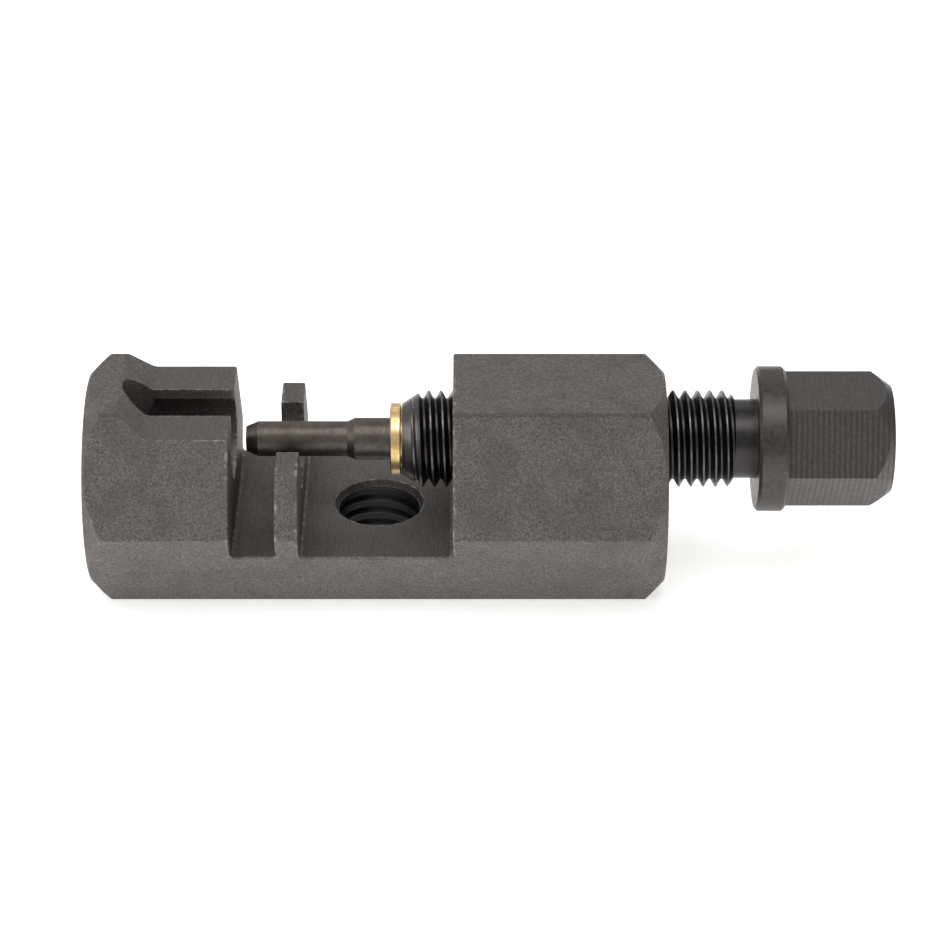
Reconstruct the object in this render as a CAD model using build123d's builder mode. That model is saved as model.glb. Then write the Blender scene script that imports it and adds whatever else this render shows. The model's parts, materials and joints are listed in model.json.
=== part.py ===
from build123d import *
import math
import os

os.makedirs("parts", exist_ok=True)

# A chain tool made from hexagonal bar: a body, a driver screw, a captive drive pin and its collar.
# Millimetres. X runs from the anvil end to the screw's head, and Z is up. The origin is on the
# handle hole's axis, in the bottom flat that the tool rests on.

# Hexagonal bar
bar_flats = 22.0  # across flats, one flat up and one down
bar_left = -29.45
bar_right = 29.3
bar_end_radius = 10.8  # circle left on each end by its 45 degree chamfer
bar_edge_radius = 0.3  # rounding of the drawn bar's long edges
burr_radius = 0.2  # rounding of the milled openings' rims

# Openings milled across the bar from its top
floor_z = 7.9
floor_corner = 0.4
chain_slot = (-14.8, -10.2)
chamber = (-7.85, 7.67)
plate_top_z = 16.9

# Anvil block, left of the chain slot
anvil_top_z = 19.75
ramp_foot_x = -23.3
ramp_top_x = -25.85
ramp_foot_blend = 1.2
ramp_top_blend = 1.2
groove_half_width = 2.7
groove_end_x = -25.9
groove_floor_z = 12.8
rivet_hole_radius = 4.15  # blind hole on the screw's axis, which the groove opens into
rivet_hole_x = -23.0
rivet_hole_tip_x = -25.4

# Screw axis, thread and bore
axis_z = 15.53
pitch = 1.25
thread_origin_x = 2.757  # where the crest points along +Y
crest_radius = 4.95
root_radius = 4.18
crest_flat = 0.16
ridge_root = 0.08  # how far the thread's ridge starts below the core that carries it
bore_radius = 5.04  # clear of the thread's crests
bore_mouth_chamfer = 0.4
plate_notch_radius = 5.13  # lets the screw's nose through

# Handle hole in the chamber's floor
handle_radius = 4.2
handle_lead_radius = 4.6
handle_lead_depth = 0.75
handle_foot_chamfer = 0.4

# Driver screw
nose_x = 2.45
nose_radius = 3.62
nose_slope = 0.65  # radius gained per millimetre
thread_end_x = 36.3
thread_end_bevel = 0.6
neck_radius = 4.05
flange = (38.53, 41.5)
flange_radius = 7.43
flange_edge = 0.3
head_end_x = 52.35
head_flats = 12.0
head_turn = 5.5  # degrees from +Y to a corner
head_end_radius = 5.5
head_chamfer_depth = 2.0
pocket_radius = 3.0
pocket_floor_x = 5.6

# Drive pin
pin_tip_x = -13.5
pin_tip_radius = 1.28
pin_tip_length = 1.2
pin_radius = 1.8
pin_step_x = -3.15
pin_step_length = 0.75
pin_shank_radius = 2.15
pin_head_x = 3.72
pin_head_end_x = 5.5
pin_head_radius = 2.85
pin_head_bevel = 0.3

# Pin collar
collar = (1.25, 2.35)
collar_radius = 3.7
collar_spigot_x = 3.65
collar_bore_radius = 2.18
collar_edge = 0.12

# Worked out
bar_half = bar_flats / 2
bar_corner = bar_half / math.cos(math.pi / 6)
bar_axis = Axis((0, 0, bar_half), (1, 0, 0))
screw_axis = Axis((0, 0, axis_z), (1, 0, 0))
screw_plane = Plane(origin=(0, 0, axis_z), x_dir=(1, 0, 0), z_dir=(0, -1, 0))
flank_tangent = math.tan(math.pi / 6)
clear = 2.0  # how far a cutter runs past the metal


# Body
with BuildPart() as body:
    with BuildSketch(Plane.YZ.offset(bar_left)):
        with Locations((0, bar_half)):
            RegularPolygon(bar_half, 6, major_radius=False)
        fillet(vertices(), bar_edge_radius)
    extrude(amount=bar_right - bar_left)

    # Both ends turned to a 45 degree cone, which only the six corners reach
    chamfer_rise = bar_corner + clear - bar_end_radius
    cone_radius = bar_half + bar_end_radius + chamfer_rise
    with BuildSketch(Plane.XZ):
        Polygon(
            (bar_left, bar_half),
            (bar_left, bar_half + bar_end_radius),
            (bar_left + chamfer_rise, cone_radius),
            (bar_right - chamfer_rise, cone_radius),
            (bar_right, bar_half + bar_end_radius),
            (bar_right, bar_half),
            align=None,
        )
    revolve(axis=bar_axis, mode=Mode.INTERSECT)

    # Chain slot and chamber
    for left, right in (chain_slot, chamber):
        with BuildSketch(Plane.XZ):
            with Locations(((left + right) / 2, floor_z)):
                Rectangle(right - left, bar_flats, align=(Align.CENTER, Align.MIN))
            fillet(vertices().group_by(Axis.Y)[0], floor_corner)
        extrude(amount=bar_corner + clear, both=True, mode=Mode.SUBTRACT)

    # Plate between them, cut down level
    with BuildSketch(Plane.XZ):
        with Locations(((chain_slot[1] + chamber[0]) / 2, plate_top_z)):
            Rectangle(chamber[0] - chain_slot[1] + clear, bar_flats, align=(Align.CENTER, Align.MIN))
    extrude(amount=bar_corner + clear, both=True, mode=Mode.SUBTRACT)

    # Anvil block's level top, with a ramp up to the bar's own top
    with BuildSketch(Plane.XZ):
        Polygon(
            (bar_left + clear, bar_flats),
            (ramp_top_x, bar_flats),
            (ramp_foot_x, anvil_top_z),
            (chain_slot[0] + clear, anvil_top_z),
            (chain_slot[0] + clear, bar_flats + clear),
            (bar_left + clear, bar_flats + clear),
            align=None,
        )
        fillet(vertices().sort_by_distance((ramp_top_x, bar_flats))[0], ramp_top_blend)
        fillet(vertices().sort_by_distance((ramp_foot_x, anvil_top_z))[0], ramp_foot_blend)
    extrude(amount=bar_corner + clear, both=True, mode=Mode.SUBTRACT)

    # Rims of the milled walls, rounded where a burr would be
    rims = ShapeList()
    for wall_x in (*chain_slot, *chamber):
        wall_edges = body.edges().filter_by_position(Axis.X, wall_x - 0.01, wall_x + 0.01)
        rims += wall_edges.filter_by_position(Axis.Z, floor_z + 2 * floor_corner, bar_flats)
    fillet(rims, burr_radius)

    # Groove for the pushed-out rivet
    groove_centre_x = groove_end_x + groove_half_width
    with BuildSketch(Plane.XY.offset(groove_floor_z)):
        with Locations((groove_centre_x, 0)):
            Circle(groove_half_width)
            Rectangle(
                chain_slot[0] + clear - groove_centre_x,
                2 * groove_half_width,
                align=(Align.MIN, Align.CENTER),
            )
    extrude(amount=bar_flats, mode=Mode.SUBTRACT)

    # Blind hole for the rivet, with a drill's tip
    with BuildSketch(screw_plane):
        Polygon(
            (rivet_hole_tip_x, 0),
            (rivet_hole_x, rivet_hole_radius),
            (chain_slot[0] + clear, rivet_hole_radius),
            (chain_slot[0] + clear, 0),
            align=None,
        )
    revolve(axis=screw_axis, mode=Mode.SUBTRACT)

    # Notch in the plate
    with BuildSketch(Plane.YZ.offset(chain_slot[1] - clear)):
        with Locations((0, axis_z)):
            Circle(plate_notch_radius)
            Rectangle(2 * plate_notch_radius, bar_half, align=(Align.CENTER, Align.MIN))
    extrude(amount=chamber[0] - chain_slot[1] + 2 * clear, mode=Mode.SUBTRACT)

    # Screw's bore
    with BuildSketch(screw_plane):
        Polygon(
            (chamber[1] - clear, 0),
            (chamber[1] - clear, bore_radius + bore_mouth_chamfer + clear),
            (chamber[1] + bore_mouth_chamfer, bore_radius),
            (bar_right - bore_mouth_chamfer, bore_radius),
            (bar_right + clear, bore_radius + bore_mouth_chamfer + clear),
            (bar_right + clear, 0),
            align=None,
        )
    revolve(axis=screw_axis, mode=Mode.SUBTRACT)

    # Handle hole
    with BuildSketch(Plane.XZ):
        Polygon(
            (0, -clear),
            (handle_radius + handle_foot_chamfer + clear, -clear),
            (handle_radius, handle_foot_chamfer),
            (handle_radius, floor_z - handle_lead_depth),
            (handle_lead_radius, floor_z),
            (handle_lead_radius, floor_z + 0.5),
            (0, floor_z + 0.5),
            align=None,
        )
    revolve(axis=Axis.Z, mode=Mode.SUBTRACT)
body.part.label = "body"
export_step(body.part, "parts/body.step")

# Driver screw's thread, a right-hand 60 degree ridge that starts a turn before the nose
turns_before = math.ceil((thread_origin_x - nose_x) / pitch) + 1
ridge_start_x = thread_origin_x - turns_before * pitch
ridge_height = crest_radius - root_radius + ridge_root
half_crest = crest_flat / 2
half_foot = half_crest + ridge_height * flank_tangent
with BuildPart() as screw_thread:
    with BuildLine() as helix:
        Helix(
            pitch,
            thread_end_x + pitch - ridge_start_x,
            crest_radius,
            center=(ridge_start_x, 0, axis_z),
            direction=(1, 0, 0),
        )
    ridge_start = helix.line @ 0
    outward = ridge_start - Vector(ridge_start.X, 0, axis_z)
    with BuildSketch(Plane(origin=ridge_start, x_dir=outward, z_dir=helix.line % 0)):
        Polygon(
            (-ridge_height, -half_foot),
            (0, -half_crest),
            (0, half_crest),
            (-ridge_height, half_foot),
            align=None,
        )
    sweep(path=helix.line, is_frenet=True)

with BuildPart() as screw_head:
    with BuildSketch(Plane.YZ.offset(flange[1])):
        with Locations((0, axis_z)):
            RegularPolygon(head_flats / 2, 6, major_radius=False, rotation=head_turn)
    extrude(amount=head_end_x - flange[1])
    cone_start_x = head_end_x - head_chamfer_depth
    head_corner = head_flats / 2 / math.cos(math.pi / 6)
    cone_slope = (head_corner - head_end_radius) / head_chamfer_depth
    with BuildSketch(screw_plane):
        Polygon(
            (flange[1], 0),
            (flange[1], head_corner + clear * cone_slope),
            (cone_start_x - clear, head_corner + clear * cone_slope),
            (head_end_x, head_end_radius),
            (head_end_x, 0),
            align=None,
        )
    revolve(axis=screw_axis, mode=Mode.INTERSECT)

with BuildPart() as driver_screw:
    # The thread alone is bevelled at both ends before the core is made
    add(screw_thread.part)
    bevel_radius = crest_radius + 1
    thread_end_radius = crest_radius - thread_end_bevel
    with BuildSketch(screw_plane):
        Polygon(
            (nose_x, 0),
            (nose_x, nose_radius),
            (nose_x + (bevel_radius - nose_radius) / nose_slope, bevel_radius),
            (thread_end_x - bevel_radius + thread_end_radius, bevel_radius),
            (thread_end_x, thread_end_radius),
            (thread_end_x, 0),
            align=None,
        )
    revolve(axis=screw_axis, mode=Mode.INTERSECT)

    # Nose, thread's core, neck and flange
    with BuildSketch(screw_plane):
        Polygon(
            (nose_x, 0),
            (nose_x, nose_radius),
            (nose_x + (root_radius - nose_radius) / nose_slope, root_radius),
            (thread_end_x, root_radius),
            (thread_end_x, neck_radius),
            (flange[0], neck_radius),
            (flange[0], flange_radius - flange_edge),
            (flange[0] + flange_edge, flange_radius),
            (flange[1] - flange_edge, flange_radius),
            (flange[1], flange_radius - flange_edge),
            (flange[1], 0),
            align=None,
        )
    revolve(axis=screw_axis)

    # Pocket for the pin's head and the collar's spigot
    with BuildSketch(screw_plane):
        Polygon(
            (nose_x - clear, 0),
            (nose_x - clear, pocket_radius),
            (pocket_floor_x, pocket_radius),
            (pocket_floor_x, 0),
            align=None,
        )
    revolve(axis=screw_axis, mode=Mode.SUBTRACT)

    # Hexagon head, whose corners run into a cone at its end
    add(screw_head.part)
driver_screw.part.label = "driver_screw"
export_step(driver_screw.part, "parts/driver_screw.step")

# Drive pin
with BuildPart() as drive_pin:
    with BuildSketch(screw_plane):
        Polygon(
            (pin_tip_x, 0),
            (pin_tip_x, pin_tip_radius),
            (pin_tip_x + pin_tip_length, pin_radius),
            (pin_step_x, pin_radius),
            (pin_step_x + pin_step_length, pin_shank_radius),
            (pin_head_x, pin_shank_radius),
            (pin_head_x, pin_head_radius),
            (pin_head_end_x - pin_head_bevel, pin_head_radius),
            (pin_head_end_x, pin_head_radius - pin_head_bevel),
            (pin_head_end_x, 0),
            align=None,
        )
    revolve(axis=screw_axis)
drive_pin.part.label = "drive_pin"
export_step(drive_pin.part, "parts/drive_pin.step")

# Pin collar, a flanged bush whose spigot fills the mouth of the screw's pocket
with BuildPart() as pin_collar:
    with BuildSketch(screw_plane):
        Polygon(
            (collar[0], collar_bore_radius),
            (collar[0], collar_radius - collar_edge),
            (collar[0] + collar_edge, collar_radius),
            (collar[1] - collar_edge, collar_radius),
            (collar[1], collar_radius - collar_edge),
            (collar[1], pocket_radius),
            (collar_spigot_x, pocket_radius),
            (collar_spigot_x, collar_bore_radius),
            align=None,
        )
    revolve(axis=screw_axis)
pin_collar.part.label = "pin_collar"
export_step(pin_collar.part, "parts/pin_collar.step")
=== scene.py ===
import json
import math

import bmesh
import bpy
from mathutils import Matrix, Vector


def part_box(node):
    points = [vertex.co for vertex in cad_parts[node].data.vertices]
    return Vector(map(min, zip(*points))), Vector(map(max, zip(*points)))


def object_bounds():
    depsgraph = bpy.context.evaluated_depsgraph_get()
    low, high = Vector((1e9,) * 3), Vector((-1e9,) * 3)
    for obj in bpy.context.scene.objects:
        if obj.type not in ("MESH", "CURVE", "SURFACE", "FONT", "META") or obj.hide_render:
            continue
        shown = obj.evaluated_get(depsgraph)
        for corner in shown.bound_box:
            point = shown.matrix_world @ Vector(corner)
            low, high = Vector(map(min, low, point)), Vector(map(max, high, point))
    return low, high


# The looks of a chain tool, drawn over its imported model. Lengths are in metres.

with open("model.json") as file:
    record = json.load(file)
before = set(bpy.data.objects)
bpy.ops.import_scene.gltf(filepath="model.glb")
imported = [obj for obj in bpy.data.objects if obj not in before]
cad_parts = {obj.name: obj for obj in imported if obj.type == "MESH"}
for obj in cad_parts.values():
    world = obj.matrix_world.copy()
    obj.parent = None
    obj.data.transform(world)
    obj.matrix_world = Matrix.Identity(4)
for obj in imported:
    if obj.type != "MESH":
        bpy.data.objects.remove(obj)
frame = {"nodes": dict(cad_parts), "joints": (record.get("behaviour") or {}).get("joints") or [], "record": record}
cad_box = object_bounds()
nodes = frame["nodes"]
screw_pivot = Vector(next(j["pos_m"] for j in frame["joints"] if j["type"] == "hinge"))
handle_mount = next(m for m in frame["record"]["mounts"] if m["name"] == "handle_hole")

MM = 0.001

# Camera, seen from the front and above
CAMERA_ELEVATION = math.radians(30.78)
CAMERA_DISTANCE = 337.4 * MM
CAMERA_LENS = 123.94
CAMERA_SENSOR = 36.0
AIM_LEFT_OF_MIDDLE = 1.55 * MM
AIM_BELOW_MIDDLE = 0.3 * MM

# Studio
FLOOR_HALF = 4.0  # half of the floor's side
FLOOR_GAP = 0.02 * MM  # between the floor and the object
FLOOR_PAPER = (0.92, 0.92, 0.915)
FLOOR_GLOW = 0.58  # the paper is lit from below as well, so that shadows stay faint
FLOOR_GLOW_COLOUR = (1.0, 1.0, 0.99)
WORLD_COLOUR = (1.0, 0.99, 0.975)
WORLD_STRENGTH = 0.55

# Colours, linear
PHOSPHATE = (0.121, 0.108, 0.103)
PHOSPHATE_PALE = (0.206, 0.187, 0.180)
PHOSPHATE_DARK = (0.054, 0.048, 0.047)
MILLED = (0.102, 0.094, 0.085)
MILLED_DARK = (0.066, 0.061, 0.058)
# Painted shade inside the threaded holes, lighter where painted highlights fall on the thread's crests
HOLE_PAINTED_SHADE = (0.010, 0.010, 0.012)
HOLE_CREST_PAINTED_HIGHLIGHT = (0.050, 0.050, 0.053)
# Bare steel, also laid on as a painted highlight on rims and glints
BARE_STEEL_AND_HIGHLIGHT = (0.52, 0.50, 0.48)
# A dark line along the bar's top and bottom corners
DARK_CORNER_LINE = (0.026, 0.024, 0.023)
BLACK_OXIDE = (0.045, 0.043, 0.043)
# Worn steel, also laid on as a painted highlight on crests and edges
WORN_OXIDE_AND_HIGHLIGHT = (0.150, 0.143, 0.138)
NOSE_STEEL = (0.135, 0.130, 0.128)
HEAD_STEEL = (0.082, 0.077, 0.075)
HEAD_STEEL_PALE = (0.122, 0.114, 0.111)
FLANGE_BROWN = (0.068, 0.060, 0.056)
PIN_BROWN = (0.080, 0.068, 0.059)
PIN_GREY = (0.115, 0.104, 0.095)
BRASS = (0.60, 0.40, 0.16)
BRASS_PALE = (0.82, 0.63, 0.36)

# Smallest flat faces that count: the body's milled walls and levels, the screw's shoulders
WALL_AREA = 4 * MM * MM
SHOULDER_AREA = 20 * MM * MM

# Where a look comes in: nothing at the first value, all of it at the second
NEAR_WALL = (0.40 * MM, 0.22 * MM)
NEAR_LEVEL = (0.30 * MM, 0.15 * MM)
NEAR_CORNER = (0.40 * MM, 0.12 * MM)
SQUARE_ON = (0.90, 0.97)  # how squarely a face looks along an axis

# Threads that the body's material draws in its two plain holes
HOLE_PITCH = 1.5 * MM
HOLE_RADIUS = handle_mount["dims"]["r_mm"] * MM
BORE_PITCH = 1.25 * MM
BORE_RADIUS = 5.04 * MM

# Reliefs, in millimetres: of the blasted grain, and of a thread whose height is up to a half
GRAIN_RELIEF = 0.04
THREAD_RELIEF = 1.2

NOSE_LENGTH = 1.9 * MM  # of the paler end of the screw
CUTTER_STEP = 0.55 * MM  # between the cutter's marks across the hexagon

middle = (Vector(cad_box[0]) + Vector(cad_box[1])) / 2
aim = Vector((middle.x - AIM_LEFT_OF_MIDDLE, 0.0, middle.z - AIM_BELOW_MIDDLE))


class Graph:
    """One material's nodes, with short calls to add and join them."""

    def __init__(self, name):
        self.material = bpy.data.materials.new(name)
        self.material.use_nodes = True
        self.tree = self.material.node_tree
        self.shader = self.tree.nodes["Principled BSDF"]
        self.coords = self.add("ShaderNodeTexCoord").outputs["Object"]

    def add(self, kind, **settings):
        node = self.tree.nodes.new(kind)
        for key, value in settings.items():
            setattr(node, key, value)
        return node

    def put(self, value, socket):
        """Joins an output to a socket, or sets the socket to a plain value."""
        if isinstance(value, bpy.types.NodeSocket):
            self.tree.links.new(value, socket)
        elif isinstance(value, tuple) and len(value) == 3 and len(socket.default_value) == 4:
            socket.default_value = (*value, 1.0)
        else:
            socket.default_value = value

    def math(self, operation, *values, clamp=False):
        node = self.add("ShaderNodeMath", operation=operation, use_clamp=clamp)
        for value, socket in zip(values, node.inputs):
            self.put(value, socket)
        return node.outputs[0]

    def plus(self, first, second):
        return self.math("ADD", first, second)

    def minus(self, first, second):
        return self.math("SUBTRACT", first, second)

    def times(self, first, second):
        return self.math("MULTIPLY", first, second)

    def larger(self, first, second):
        return self.math("MAXIMUM", first, second)

    def unsigned(self, value):
        return self.math("ABSOLUTE", value)

    def vector(self, operation, *values):
        node = self.add("ShaderNodeVectorMath", operation=operation)
        for value, socket in zip(values, node.inputs):
            self.put(value, socket)
        return node.outputs["Value" if operation in ("DOT_PRODUCT", "LENGTH") else "Vector"]

    def split(self, vector):
        node = self.add("ShaderNodeSeparateXYZ")
        self.put(vector, node.inputs[0])
        return node.outputs

    def ramp(self, value, low, high, start=0.0, end=1.0):
        """The value carried smoothly from start at low to end at high."""
        node = self.add("ShaderNodeMapRange", interpolation_type="SMOOTHSTEP")
        for given, socket in zip((value, low, high, start, end), node.inputs):
            self.put(given, socket)
        return node.outputs[0]

    def noise(self, size, detail=2.0, roughness=0.5, stretch=(1.0, 1.0, 1.0)):
        """Noise whose lumps are about size across, longer where stretch is above one."""
        scaled = self.vector("MULTIPLY", self.coords, tuple(1 / (size * s) for s in stretch))
        node = self.add("ShaderNodeTexNoise")
        self.put(scaled, node.inputs["Vector"])
        node.inputs["Scale"].default_value = 1.0
        node.inputs["Detail"].default_value = detail
        node.inputs["Roughness"].default_value = roughness
        return node.outputs["Fac"]

    def mix(self, amount, first, second):
        """The first colour, going over to the second as the amount goes from nothing to one."""
        node = self.add("ShaderNodeMix", data_type="RGBA")
        self.put(amount, node.inputs[0])
        self.put(first, node.inputs[6])
        self.put(second, node.inputs[7])
        return node.outputs[2]

    def lay(self, colour, other, mask, strength):
        """The colour, with another laid over it at that strength where the mask is one."""
        return self.mix(self.times(mask, strength), colour, other)

    def near(self, coordinate, places, fade):
        """One beside any of the places along a coordinate, nothing further off."""
        closest = 0.0
        for place in places:
            off = self.unsigned(self.minus(coordinate, place))
            closest = self.larger(self.ramp(off, *fade), closest)
        return closest

    def edges(self, radius):
        """One on sharp edges, falling to nothing about a radius away from them."""
        bevel = self.add("ShaderNodeBevel", samples=6)
        bevel.inputs["Radius"].default_value = radius
        flat = self.add("ShaderNodeNewGeometry").outputs["Normal"]
        alike = self.vector("DOT_PRODUCT", bevel.outputs["Normal"], flat)
        return self.ramp(alike, 0.995, 0.90)

    def axis_radius(self):
        """Distance from the screw's axis."""
        flat = self.vector("MULTIPLY", self.coords, (0.0, 1.0, 1.0))
        centre = (0.0, screw_pivot.y, screw_pivot.z)
        return self.vector("LENGTH", self.vector("SUBTRACT", flat, centre))

    def thread(self, across, up, along, pitch):
        """A right-hand thread's height round the third axis, from nothing to a half."""
        around = self.math("DIVIDE", self.math("ARCTAN2", up, across), 2 * math.pi)
        turns = self.math("DIVIDE", along, pitch)
        return self.math("PINGPONG", self.minus(turns, around), 0.5)

    def bump(self, height, distance, strength):
        node = self.add("ShaderNodeBump")
        node.inputs["Strength"].default_value = strength
        node.inputs["Distance"].default_value = distance
        self.put(height, node.inputs["Height"])
        self.put(node.outputs["Normal"], self.shader.inputs["Normal"])

    def finish(self, colour, roughness, metallic):
        self.put(colour, self.shader.inputs["Base Color"])
        self.put(roughness, self.shader.inputs["Roughness"])
        self.put(metallic, self.shader.inputs["Metallic"])
        return self.material


def flat_levels(node, axis, smallest_area):
    """Where the node has flat faces square to an axis, as coordinates along it."""
    areas = {}
    for face in nodes[node].data.polygons:
        if abs(face.normal[axis]) > 0.999:
            level = round(face.center[axis] / MM, 2)
            areas[level] = areas.get(level, 0.0) + face.area
    return sorted(level * MM for level, area in areas.items() if area > smallest_area)


def blasted_colour(g, pale, pits):
    """Grey phosphate with pale grain, dark clouds and pits, and a few bright glints painted as highlights."""
    cloud = g.noise(3.2 * MM, detail=3.0)
    tint = g.noise(1.4 * MM)
    glints = g.ramp(g.noise(0.19 * MM, roughness=0.6), 0.70, 0.78)
    colour = g.mix(g.ramp(pale, 0.40, 0.62), PHOSPHATE_DARK, PHOSPHATE_PALE)
    colour = g.mix(0.40, colour, PHOSPHATE)
    colour = g.mix(g.ramp(cloud, 0.42, 0.70, end=0.30), colour, PHOSPHATE_DARK)
    colour = g.mix(g.ramp(tint, 0.5, 0.7, end=0.30), colour, MILLED)
    colour = g.lay(colour, PHOSPHATE_DARK, pits, strength=0.55)
    # Painted highlight: a few bright glints
    return g.lay(colour, BARE_STEEL_AND_HIGHLIGHT, glints, strength=0.6)


def milled_colour(g, pale):
    """Darker steel with the cutter's fine lines."""
    lines = g.noise(0.20 * MM, stretch=(0.5, 9.0, 1.0))
    colour = g.mix(g.ramp(lines, 0.22, 0.78), MILLED_DARK, MILLED)
    return g.mix(g.ramp(pale, 0.45, 0.65, end=0.35), colour, PHOSPHATE_PALE)


def bar_corners(g, low, high):
    """One on the bar's two top and two bottom corners, where its flats meet."""
    _, y, z = g.split(g.coords)
    half_height = (high.z - low.z) / 2
    corner_y = half_height * math.tan(math.pi / 6)
    off_y = g.minus(g.unsigned(y), corner_y)
    off_z = g.minus(g.unsigned(g.minus(z, low.z + half_height)), half_height)
    off = g.math("SQRT", g.plus(g.times(off_y, off_y), g.times(off_z, off_z)))
    return g.ramp(off, *NEAR_CORNER)


def internal_threads(g, floor_z, bore_start):
    """Where the body's two threaded holes are, and the height of their threads."""
    x, y, z = g.split(g.coords)

    # The handle hole stands on the row's Z axis, and its top is widened below the chamber's floor
    from_axis = g.vector("LENGTH", g.vector("MULTIPLY", g.coords, (1.0, 1.0, 0.0)))
    inside = g.ramp(from_axis, HOLE_RADIUS + 0.10 * MM, HOLE_RADIUS + 0.05 * MM)
    under_floor = g.ramp(z, floor_z - 0.60 * MM, floor_z - 0.75 * MM)
    in_handle_hole = g.times(inside, under_floor)
    handle_thread = g.thread(x, y, z, HOLE_PITCH)

    # The screw's bore starts with a chamfer in the chamber's wall
    inside = g.ramp(g.axis_radius(), BORE_RADIUS + 0.11 * MM, BORE_RADIUS + 0.06 * MM)
    past_chamfer = g.ramp(x, bore_start + 0.40 * MM, bore_start + 0.45 * MM)
    in_bore = g.times(inside, past_chamfer)
    bore_thread = g.thread(y, g.minus(z, screw_pivot.z), x, BORE_PITCH)

    thread = g.larger(g.times(handle_thread, in_handle_hole), g.times(bore_thread, in_bore))
    return g.larger(in_handle_hole, in_bore), thread


def phosphate_material():
    """Blasted and phosphated bar, darker and smoother where it was milled, bare steel with a painted highlight on
    its rims, and painted shade in its threaded holes.
    """
    g = Graph("phosphated_bar")
    low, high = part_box("body")
    walls = [x for x in flat_levels("body", 0, WALL_AREA) if low.x + MM < x < high.x - MM]
    levels = [z for z in flat_levels("body", 2, WALL_AREA) if low.z + MM < z < high.z - 0.1 * MM]
    floor_z = levels[0]
    x, _, z = g.split(g.coords)
    near_wall = g.near(x, walls, NEAR_WALL)
    near_level = g.near(z, levels, NEAR_LEVEL)

    # Milled faces look along X, or straight up below the bar's own top
    normal = g.split(g.add("ShaderNodeNewGeometry").outputs["True Normal"])
    faces_x = g.ramp(g.unsigned(normal[0]), *SQUARE_ON)
    faces_up = g.times(g.ramp(normal[2], *SQUARE_ON), near_level)
    milled = g.larger(faces_x, faces_up)

    grain = g.noise(0.13 * MM, roughness=0.6)
    speck = g.noise(0.27 * MM, roughness=0.6)
    pale = g.plus(g.times(grain, 0.6), g.times(speck, 0.4))
    pits = g.ramp(g.noise(0.42 * MM, detail=3.0, roughness=0.7), 0.60, 0.68)
    colour = g.mix(milled, blasted_colour(g, pale, pits), milled_colour(g, pale))

    # Burrs on the rims of what was milled, bare steel with a painted highlight, and a dark line on the bar's top
    # and bottom corners
    above_floor = g.ramp(z, floor_z - 0.1 * MM, floor_z + 0.1 * MM)
    ragged = g.noise(0.9 * MM, detail=4.0, roughness=0.7)
    wall_rim = g.times(g.math("SUBTRACT", near_wall, faces_x, clamp=True), above_floor)
    wall_rim = g.times(wall_rim, g.ramp(ragged, 0.48, 0.68, end=0.5))
    level_rim = g.times(near_level, g.edges(0.26 * MM))
    level_rim = g.times(level_rim, g.ramp(ragged, 0.44, 0.62))
    rim = g.larger(wall_rim, level_rim)
    colour = g.lay(colour, DARK_CORNER_LINE, bar_corners(g, low, high), strength=0.45)
    # Bare steel and painted highlight on the rims
    colour = g.lay(colour, BARE_STEEL_AND_HIGHLIGHT, rim, strength=0.8)

    in_hole, thread = internal_threads(g, floor_z, walls[-1])
    # Painted shade inside the two threaded holes, with painted highlights on the thread's crests
    colour = g.mix(in_hole, colour, g.mix(g.ramp(thread, 0.30, 0.48), HOLE_PAINTED_SHADE, HOLE_CREST_PAINTED_HIGHLIGHT))

    roughness = g.ramp(pale, 0.3, 0.7, 0.62, 0.50)
    roughness = g.minus(roughness, g.times(rim, 0.16))
    roughness = g.minus(roughness, g.times(in_hole, 0.22))
    blasting = g.minus(pale, g.times(pits, 0.5))
    blasting = g.times(blasting, g.minus(GRAIN_RELIEF, g.times(in_hole, GRAIN_RELIEF)))
    g.bump(g.plus(blasting, g.times(thread, THREAD_RELIEF)), 1.0 * MM, 0.8)
    return g.finish(colour, roughness, 0.55)


def thread_crest_radius():
    """The screw's thread radius, read from its mesh between the nose and the neck."""
    threaded_x = (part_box("driver_screw")[0].x + screw_pivot.x) / 2
    reach = 0.0
    for vertex in nodes["driver_screw"].data.vertices:
        if abs(vertex.co.x - threaded_x) < 5 * MM:
            reach = max(reach, math.hypot(vertex.co.y - screw_pivot.y, vertex.co.z - screw_pivot.z))
    return reach


def cutter_marks(g, x):
    """Broken marks across the hexagon, strongest on the facets that face sideways at rest."""
    wander = g.times(g.noise(1.5 * MM), 0.35)
    steps = g.math("PINGPONG", g.plus(g.math("DIVIDE", x, CUTTER_STEP), wander), 0.5)
    broken = g.ramp(g.noise(0.28 * MM, roughness=0.6), 0.38, 0.62, start=0.35)
    sideways = g.split(g.add("ShaderNodeTexCoord").outputs["Normal"])[1]
    marked = g.ramp(g.unsigned(sideways), 0.30, 0.80, start=0.2)
    return g.times(g.times(g.ramp(steps, 0.12, 0.38), broken), marked)


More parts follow.
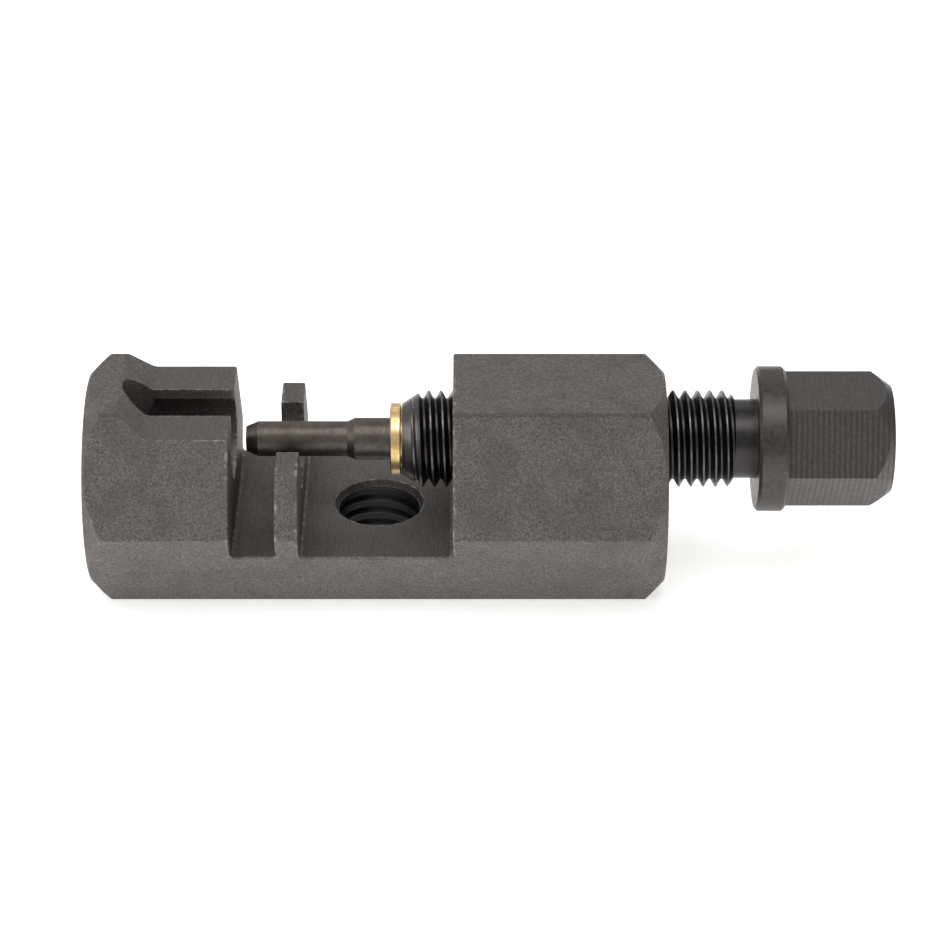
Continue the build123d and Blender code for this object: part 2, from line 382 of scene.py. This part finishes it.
def screw_material():
    """Black oxide, worn to steel and with a painted highlight on the thread's crests, with cutter marks on the
    hexagon.
    """
    g = Graph("black_oxide")
    x = g.split(g.coords)[0]
    nose_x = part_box("driver_screw")[0].x
    shoulders = flat_levels("driver_screw", 0, SHOULDER_AREA)
    flange_start, flange_end = [level for level in shoulders if level > nose_x + 10 * MM][:2]
    crest_radius = thread_crest_radius()
    on_nose = g.ramp(x, nose_x + NOSE_LENGTH, nose_x + NOSE_LENGTH - 0.4 * MM)
    on_crest = g.ramp(g.axis_radius(), crest_radius - 0.18 * MM, crest_radius - 0.04 * MM)
    on_flange = g.ramp(x, flange_start - 0.15 * MM, flange_start - 0.05 * MM)
    on_hexagon = g.ramp(x, flange_end - 0.05 * MM, flange_end + 0.10 * MM)

    lines = g.noise(0.11 * MM, detail=3.0, roughness=0.7, stretch=(1.0, 40.0, 40.0))
    mottle = g.noise(0.45 * MM, detail=3.0, roughness=0.6)
    wear = g.ramp(g.noise(0.8 * MM, detail=3.0), 0.40, 0.62, 0.4, 0.9)
    marks = cutter_marks(g, x)

    shank = g.mix(g.ramp(mottle, 0.4, 0.7, end=0.5), BLACK_OXIDE, FLANGE_BROWN)
    nose = g.mix(g.ramp(lines, 0.30, 0.60), FLANGE_BROWN, NOSE_STEEL)
    shank = g.mix(on_nose, shank, nose)
    # Worn steel with a painted highlight on the thread's crests
    shank = g.mix(g.times(on_crest, wear), shank, WORN_OXIDE_AND_HIGHLIGHT)
    flange = g.mix(g.ramp(mottle, 0.35, 0.65), FLANGE_BROWN, HEAD_STEEL)
    hexagon = g.mix(marks, HEAD_STEEL, HEAD_STEEL_PALE)
    hexagon = g.mix(g.ramp(mottle, 0.45, 0.70, end=0.4), hexagon, HEAD_STEEL)
    colour = g.mix(on_flange, shank, g.mix(on_hexagon, flange, hexagon))
    # Flange edges: worn steel with a painted highlight, patchy by the mottle
    rubbed_edge_highlight = g.times(g.times(g.edges(0.20 * MM), on_flange), g.ramp(mottle, 0.35, 0.65))
    colour = g.lay(colour, WORN_OXIDE_AND_HIGHLIGHT, rubbed_edge_highlight, strength=0.45)

    roughness = g.ramp(on_flange, 0.0, 1.0, 0.33, 0.40)
    roughness = g.plus(roughness, g.ramp(mottle, 0.3, 0.7, -0.05, 0.07))
    height = g.plus(g.times(lines, 0.35), g.times(marks, on_hexagon))
    g.bump(height, 0.020 * MM, 0.8)
    return g.finish(colour, roughness, 1.0)


def pin_material():
    """Hardened pin with fine turned rings under a brownish temper colour."""
    g = Graph("hardened_pin")
    rings = g.noise(0.09 * MM, stretch=(1.0, 30.0, 30.0))
    stain = g.noise(1.1 * MM, detail=4.0, roughness=0.65)
    grain = g.noise(0.25 * MM)
    colour = g.mix(g.ramp(stain, 0.32, 0.72), PIN_GREY, PIN_BROWN)
    colour = g.mix(g.ramp(rings, 0.4, 0.7, end=0.4), colour, PIN_BROWN)
    # Lighter edges: worn steel and painted highlight
    colour = g.lay(colour, WORN_OXIDE_AND_HIGHLIGHT, g.edges(0.15 * MM), strength=0.5)
    roughness = g.ramp(grain, 0.3, 0.7, 0.38, 0.50)
    g.bump(g.plus(g.times(rings, 0.6), g.times(grain, 0.4)), 0.010 * MM, 0.7)
    return g.finish(colour, roughness, 1.0)


def brass_material():
    """Bright turned brass."""
    g = Graph("turned_brass")
    rings = g.noise(0.07 * MM, stretch=(1.0, 30.0, 30.0))
    stain = g.noise(0.8 * MM, detail=3.0)
    colour = g.mix(g.ramp(stain, 0.35, 0.7), BRASS_PALE, BRASS)
    colour = g.mix(g.ramp(rings, 0.45, 0.75, end=0.4), colour, BRASS)
    roughness = g.ramp(stain, 0.3, 0.7, 0.24, 0.38)
    g.bump(rings, 0.008 * MM, 0.6)
    return g.finish(colour, roughness, 1.0)


def dress(node, material):
    """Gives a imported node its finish."""
    mesh = nodes[node].data
    mesh.materials.clear()
    mesh.materials.append(material)


def studio_floor():
    g = Graph("studio_floor")
    mesh = bpy.data.meshes.new("studio_floor")
    sheet = bmesh.new()
    corners = ((-1, -1), (1, -1), (1, 1), (-1, 1))
    sheet.faces.new([sheet.verts.new((FLOOR_HALF * x, FLOOR_HALF * y, 0.0)) for x, y in corners])
    sheet.to_mesh(mesh)
    sheet.free()
    floor = bpy.data.objects.new("studio_floor", mesh)
    bpy.context.scene.collection.objects.link(floor)
    floor.location.z = cad_box[0][2] - FLOOR_GAP
    g.put(FLOOR_GLOW_COLOUR, g.shader.inputs["Emission Color"])
    g.put(FLOOR_GLOW, g.shader.inputs["Emission Strength"])
    floor.data.materials.append(g.finish(FLOOR_PAPER, 0.7, 0.0))


def softbox(name, direction, distance, size, power):
    """An area light that far off in a direction, facing the object."""
    light = bpy.data.lights.new(name, "AREA")
    light.shape = "RECTANGLE"
    light.size, light.size_y = size
    light.energy = power
    lamp = bpy.data.objects.new(name, light)
    bpy.context.scene.collection.objects.link(lamp)
    lamp.location = aim + Vector(direction).normalized() * distance
    lamp.rotation_euler = (aim - lamp.location).to_track_quat("-Z", "Y").to_euler()


def studio_light():
    world = bpy.data.worlds.new("studio")
    bpy.context.scene.world = world
    world.use_nodes = True
    background = world.node_tree.nodes["Background"]
    background.inputs["Color"].default_value = (*WORLD_COLOUR, 1.0)
    background.inputs["Strength"].default_value = WORLD_STRENGTH
    softbox("overhead", (-0.15, -0.18, 1.0), distance=0.9, size=(0.9, 0.5), power=4.0)
    softbox("left", (-1.0, -0.35, 0.55), distance=0.9, size=(0.6, 0.6), power=2.0)
    softbox("back", (-0.2, 1.0, 0.85), distance=1.1, size=(1.2, 0.5), power=1.3)


def camera():
    data = bpy.data.cameras.new("camera")
    data.lens = CAMERA_LENS
    data.sensor_width = CAMERA_SENSOR
    data.clip_start = 1 * MM
    piece = bpy.data.objects.new("camera", data)
    bpy.context.scene.collection.objects.link(piece)
    back = Vector((0.0, -math.cos(CAMERA_ELEVATION), math.sin(CAMERA_ELEVATION)))
    piece.location = aim + back * CAMERA_DISTANCE
    piece.rotation_euler = (-back).to_track_quat("-Z", "Y").to_euler()
    bpy.context.scene.camera = piece


dress("body", phosphate_material())
dress("driver_screw", screw_material())
dress("drive_pin", pin_material())
dress("pin_collar", brass_material())
studio_floor()
studio_light()
camera()
bpy.context.scene.view_settings.view_transform = "Standard"
